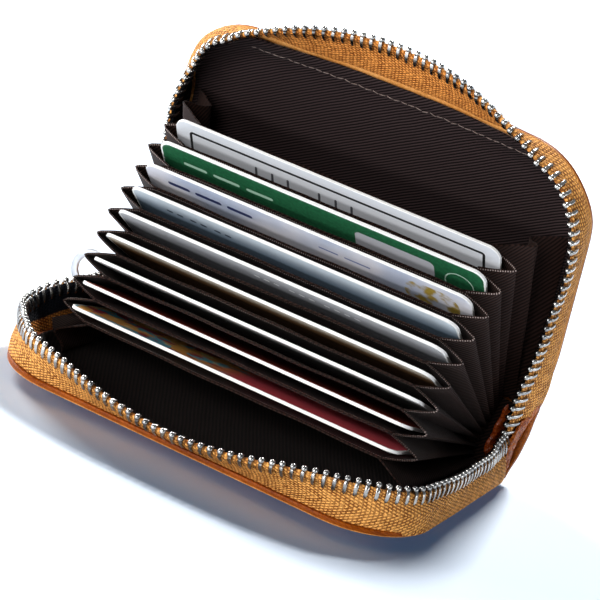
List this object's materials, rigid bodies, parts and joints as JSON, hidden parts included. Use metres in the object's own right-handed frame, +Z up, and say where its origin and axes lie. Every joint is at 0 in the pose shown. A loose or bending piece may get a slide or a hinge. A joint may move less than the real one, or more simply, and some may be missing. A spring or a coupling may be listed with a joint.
{
  "type": "zip-around accordion card case",
  "caption": "small tan leather zip-around case standing open, with an accordion of fabric card pockets fanned out between two rounded covers",
  "frame": {"origin": "middle of the front cover's outer face, which lies on the table", "axes": "+X along the spine, to the right seen from the open side; +Y from the front cover's free edge to its hinge; +Z up"},
  "size_m": [0.1199, 0.0885, 0.0929],
  "materials": {
    "leather": "tan pebbled leather, semi-gloss",
    "dark_leather": "red-brown leather, glossy",
    "board": "grey stiffening board",
    "lining": "dark brown ribbed twill",
    "tape": "tan herringbone zip tape",
    "metal": "bright nickel plate",
    "card_1": "plain card stock plastic, satin",
    "card_2": "plain card stock plastic, satin",
    "card_3": "plain card stock plastic, satin",
    "card_4": "plain card stock plastic, satin",
    "card_5": "plain card stock plastic, satin",
    "card_6": "plain card stock plastic, satin",
    "card_7": "plain card stock plastic, satin",
    "card_8": "plain card stock plastic, satin",
    "card_9": "plain card stock plastic, satin"
  },
  "bodies": {
    "front_cover": {"front_leather": "leather", "front_board": "board", "front_lining": "lining", "front_tape": "tape", "front_chain": "metal", "front_gusset_left": "lining", "front_gusset_right": "lining"},
    "spine": {"spine_leather": "leather", "spine_board": "board", "spine_lining": "lining", "end_tab_left": "dark_leather", "end_tab_right": "dark_leather", "bottom_stop": "metal", "pleat_left_5": "lining", "pleat_right_5": "lining"},
    "rear_cover": {"rear_leather": "leather", "rear_board": "board", "rear_lining": "lining", "rear_tape": "tape", "rear_chain": "metal", "rear_gusset_left": "lining", "rear_gusset_right": "lining"},
    "divider_0": {"divider_0": "lining"},
    "divider_1": {"divider_1": "lining"},
    "divider_2": {"divider_2": "lining"},
    "divider_3": {"divider_3": "lining"},
    "divider_4": {"divider_4": "lining"},
    "divider_5": {"divider_5": "lining"},
    "divider_6": {"divider_6": "lining"},
    "divider_7": {"divider_7": "lining"},
    "divider_8": {"divider_8": "lining"},
    "divider_9": {"divider_9": "lining"},
    "pocket_1": {"pleat_left_1": "lining", "pleat_right_1": "lining"},
    "pocket_2": {"pleat_left_2": "lining", "pleat_right_2": "lining"},
    "pocket_3": {"pleat_left_3": "lining", "pleat_right_3": "lining"},
    "pocket_4": {"pleat_left_4": "lining", "pleat_right_4": "lining"},
    "pocket_6": {"pleat_left_6": "lining", "pleat_right_6": "lining"},
    "pocket_7": {"pleat_left_7": "lining", "pleat_right_7": "lining"},
    "pocket_8": {"pleat_left_8": "lining", "pleat_right_8": "lining"},
    "pocket_9": {"pleat_left_9": "lining", "pleat_right_9": "lining"},
    "card_1": {"card_1": "card_1"},
    "card_2": {"card_2": "card_2"},
    "card_3": {"card_3": "card_3"},
    "card_4": {"card_4": "card_4"},
    "card_5": {"card_5": "card_5"},
    "card_6": {"card_6": "card_6"},
    "card_7": {"card_7": "card_7"},
    "card_8": {"card_8": "card_8"},
    "card_9": {"card_9": "card_9"},
    "slider": {"zip_slider": "metal"},
    "pull_ring": {"pull_ring": "metal"}
  },
  "joints": [
    {"name": "spine_fold", "type": "hinge", "parent": "front_cover", "child": "spine", "pos_m": [0, 0.0335, 0.0031], "axis": [-1, 0, 0], "range_deg": [-30, 0], "deforming": ["pleat_left_1", "pleat_right_1", "pleat_left_2", "pleat_right_2", "pleat_left_3", "pleat_right_3", "pleat_left_4", "pleat_right_4", "pleat_left_5", "pleat_right_5", "pleat_left_6", "pleat_right_6", "pleat_left_7", "pleat_right_7", "pleat_left_8", "pleat_right_8", "pleat_left_9", "pleat_right_9", "front_gusset_left", "front_gusset_right", "rear_gusset_left", "rear_gusset_right"]},
    {"name": "rear_fold", "type": "hinge", "parent": "spine", "child": "rear_cover", "pos_m": [0, 0.04276, 0.01736], "axis": [-1, 0, 0], "range_deg": [-43.5, 0]},
    {"name": "divider_0_fan", "type": "hinge", "parent": "spine", "child": "divider_0", "pos_m": [0, 0.04217, 0.017], "axis": [-1, 0, 0], "range_deg": [-24.39, 0]},
    {"name": "divider_1_fan", "type": "hinge", "parent": "spine", "child": "divider_1", "pos_m": [0, 0.04121, 0.01553], "axis": [-1, 0, 0], "range_deg": [-18.4, 0]},
    {"name": "divider_2_fan", "type": "hinge", "parent": "spine", "child": "divider_2", "pos_m": [0, 0.04026, 0.01406], "axis": [-1, 0, 0], "range_deg": [-12.81, 0]},
    {"name": "divider_3_fan", "type": "hinge", "parent": "spine", "child": "divider_3", "pos_m": [0, 0.03931, 0.01259], "axis": [-1, 0, 0], "range_deg": [-7.53, 0]},
    {"name": "divider_4_fan", "type": "hinge", "parent": "spine", "child": "divider_4", "pos_m": [0, 0.03835, 0.01113], "axis": [-1, 0, 0], "range_deg": [-2.47, 0]},
    {"name": "divider_5_fan", "type": "hinge", "parent": "spine", "child": "divider_5", "pos_m": [0, 0.0374, 0.00966], "axis": [-1, 0, 0], "range_deg": [0, 2.44]},
    {"name": "divider_6_fan", "type": "hinge", "parent": "spine", "child": "divider_6", "pos_m": [0, 0.03645, 0.00819], "axis": [-1, 0, 0], "range_deg": [0, 7.24]},
    {"name": "divider_7_fan", "type": "hinge", "parent": "spine", "child": "divider_7", "pos_m": [0, 0.03549, 0.00672], "axis": [-1, 0, 0], "range_deg": [0, 11.98]},
    {"name": "divider_8_fan", "type": "hinge", "parent": "spine", "child": "divider_8", "pos_m": [0, 0.03454, 0.00526], "axis": [-1, 0, 0], "range_deg": [0, 16.7]},
    {"name": "divider_9_fan", "type": "hinge", "parent": "spine", "child": "divider_9", "pos_m": [0, 0.03359, 0.00379], "axis": [-1, 0, 0], "range_deg": [0, 21.41]},
    {"name": "pocket_1_fan", "type": "hinge", "parent": "spine", "child": "pocket_1", "pos_m": [0, 0.04169, 0.01626], "axis": [-1, 0, 0], "range_deg": [-21.34, 0]},
    {"name": "pocket_2_fan", "type": "hinge", "parent": "spine", "child": "pocket_2", "pos_m": [0, 0.04074, 0.0148], "axis": [-1, 0, 0], "range_deg": [-15.56, 0]},
    {"name": "pocket_3_fan", "type": "hinge", "parent": "spine", "child": "pocket_3", "pos_m": [0, 0.03978, 0.01333], "axis": [-1, 0, 0], "range_deg": [-10.13, 0]},
    {"name": "pocket_4_fan", "type": "hinge", "parent": "spine", "child": "pocket_4", "pos_m": [0, 0.03883, 0.01186], "axis": [-1, 0, 0], "range_deg": [-4.97, 0]},
    {"name": "pocket_6_fan", "type": "hinge", "parent": "spine", "child": "pocket_6", "pos_m": [0, 0.03692, 0.00892], "axis": [-1, 0, 0], "range_deg": [0, 4.85]},
    {"name": "pocket_7_fan", "type": "hinge", "parent": "spine", "child": "pocket_7", "pos_m": [0, 0.03597, 0.00746], "axis": [-1, 0, 0], "range_deg": [0, 9.61]},
    {"name": "pocket_8_fan", "type": "hinge", "parent": "spine", "child": "pocket_8", "pos_m": [0, 0.03502, 0.00599], "axis": [-1, 0, 0], "range_deg": [0, 14.34]},
    {"name": "pocket_9_fan", "type": "hinge", "parent": "spine", "child": "pocket_9", "pos_m": [0, 0.03406, 0.00452], "axis": [-1, 0, 0], "range_deg": [0, 19.06]},
    {"name": "card_1_slide", "type": "slide", "parent": "pocket_1", "child": "card_1", "axis": [0, -0.583, 0.8125], "range_m": [0, 0.045]},
    {"name": "card_2_slide", "type": "slide", "parent": "pocket_2", "child": "card_2", "axis": [0, -0.6618, 0.7497], "range_m": [0, 0.045]},
    {"name": "card_3_slide", "type": "slide", "parent": "pocket_3", "child": "card_3", "axis": [0, -0.7297, 0.6837], "range_m": [0, 0.045]},
    {"name": "card_4_slide", "type": "slide", "parent": "pocket_4", "child": "card_4", "axis": [0, -0.7883, 0.6153], "range_m": [0, 0.045]},
    {"name": "card_5_slide", "type": "slide", "parent": "spine", "child": "card_5", "axis": [0, -0.8387, 0.5446], "range_m": [0, 0.045]},
    {"name": "card_6_slide", "type": "slide", "parent": "pocket_6", "child": "card_6", "axis": [0, -0.8817, 0.4718], "range_m": [0, 0.045]},
    {"name": "card_7_slide", "type": "slide", "parent": "pocket_7", "child": "card_7", "axis": [0, -0.9179, 0.3969], "range_m": [0, 0.045]},
    {"name": "card_8_slide", "type": "slide", "parent": "pocket_8", "child": "card_8", "axis": [0, -0.9475, 0.3199], "range_m": [0, 0.045]},
    {"name": "card_9_slide", "type": "slide", "parent": "pocket_9", "child": "card_9", "axis": [0, -0.9705, 0.241], "range_m": [0, 0.045]},
    {"name": "zip_run", "type": "slide", "parent": "front_cover", "child": "slider", "axis": [0, -0.9986, 0.0523], "range_m": [0, 0.031]},
    {"name": "ring_swing", "type": "hinge", "parent": "slider", "child": "pull_ring", "pos_m": [-0.05555, 0.0209, 0.01226], "axis": [0, 0.0523, 0.9986], "range_deg": [-75, 75]}
  ],
  "couplings": [
    {"joint": "rear_fold", "follows": "spine_fold", "ratio": 1.45},
    {"joint": "divider_0_fan", "follows": "spine_fold", "ratio": 0.81292},
    {"joint": "divider_1_fan", "follows": "spine_fold", "ratio": 0.6133},
    {"joint": "divider_2_fan", "follows": "spine_fold", "ratio": 0.42698},
    {"joint": "divider_3_fan", "follows": "spine_fold", "ratio": 0.25086},
    {"joint": "divider_4_fan", "follows": "spine_fold", "ratio": 0.082231},
    {"joint": "divider_5_fan", "follows": "spine_fold", "ratio": -0.08118},
    {"joint": "divider_6_fan", "follows": "spine_fold", "ratio": -0.24124},
    {"joint": "divider_7_fan", "follows": "spine_fold", "ratio": -0.3994},
    {"joint": "divider_8_fan", "follows": "spine_fold", "ratio": -0.5567},
    {"joint": "divider_9_fan", "follows": "spine_fold", "ratio": -0.71375},
    {"joint": "pocket_1_fan", "follows": "spine_fold", "ratio": 0.71123},
    {"joint": "pocket_2_fan", "follows": "spine_fold", "ratio": 0.51868},
    {"joint": "pocket_3_fan", "follows": "spine_fold", "ratio": 0.33783},
    {"joint": "pocket_4_fan", "follows": "spine_fold", "ratio": 0.16576},
    {"joint": "pocket_6_fan", "follows": "spine_fold", "ratio": -0.16153},
    {"joint": "pocket_7_fan", "follows": "spine_fold", "ratio": -0.32048},
    {"joint": "pocket_8_fan", "follows": "spine_fold", "ratio": -0.47811},
    {"joint": "pocket_9_fan", "follows": "spine_fold", "ratio": -0.63523}
  ]
}
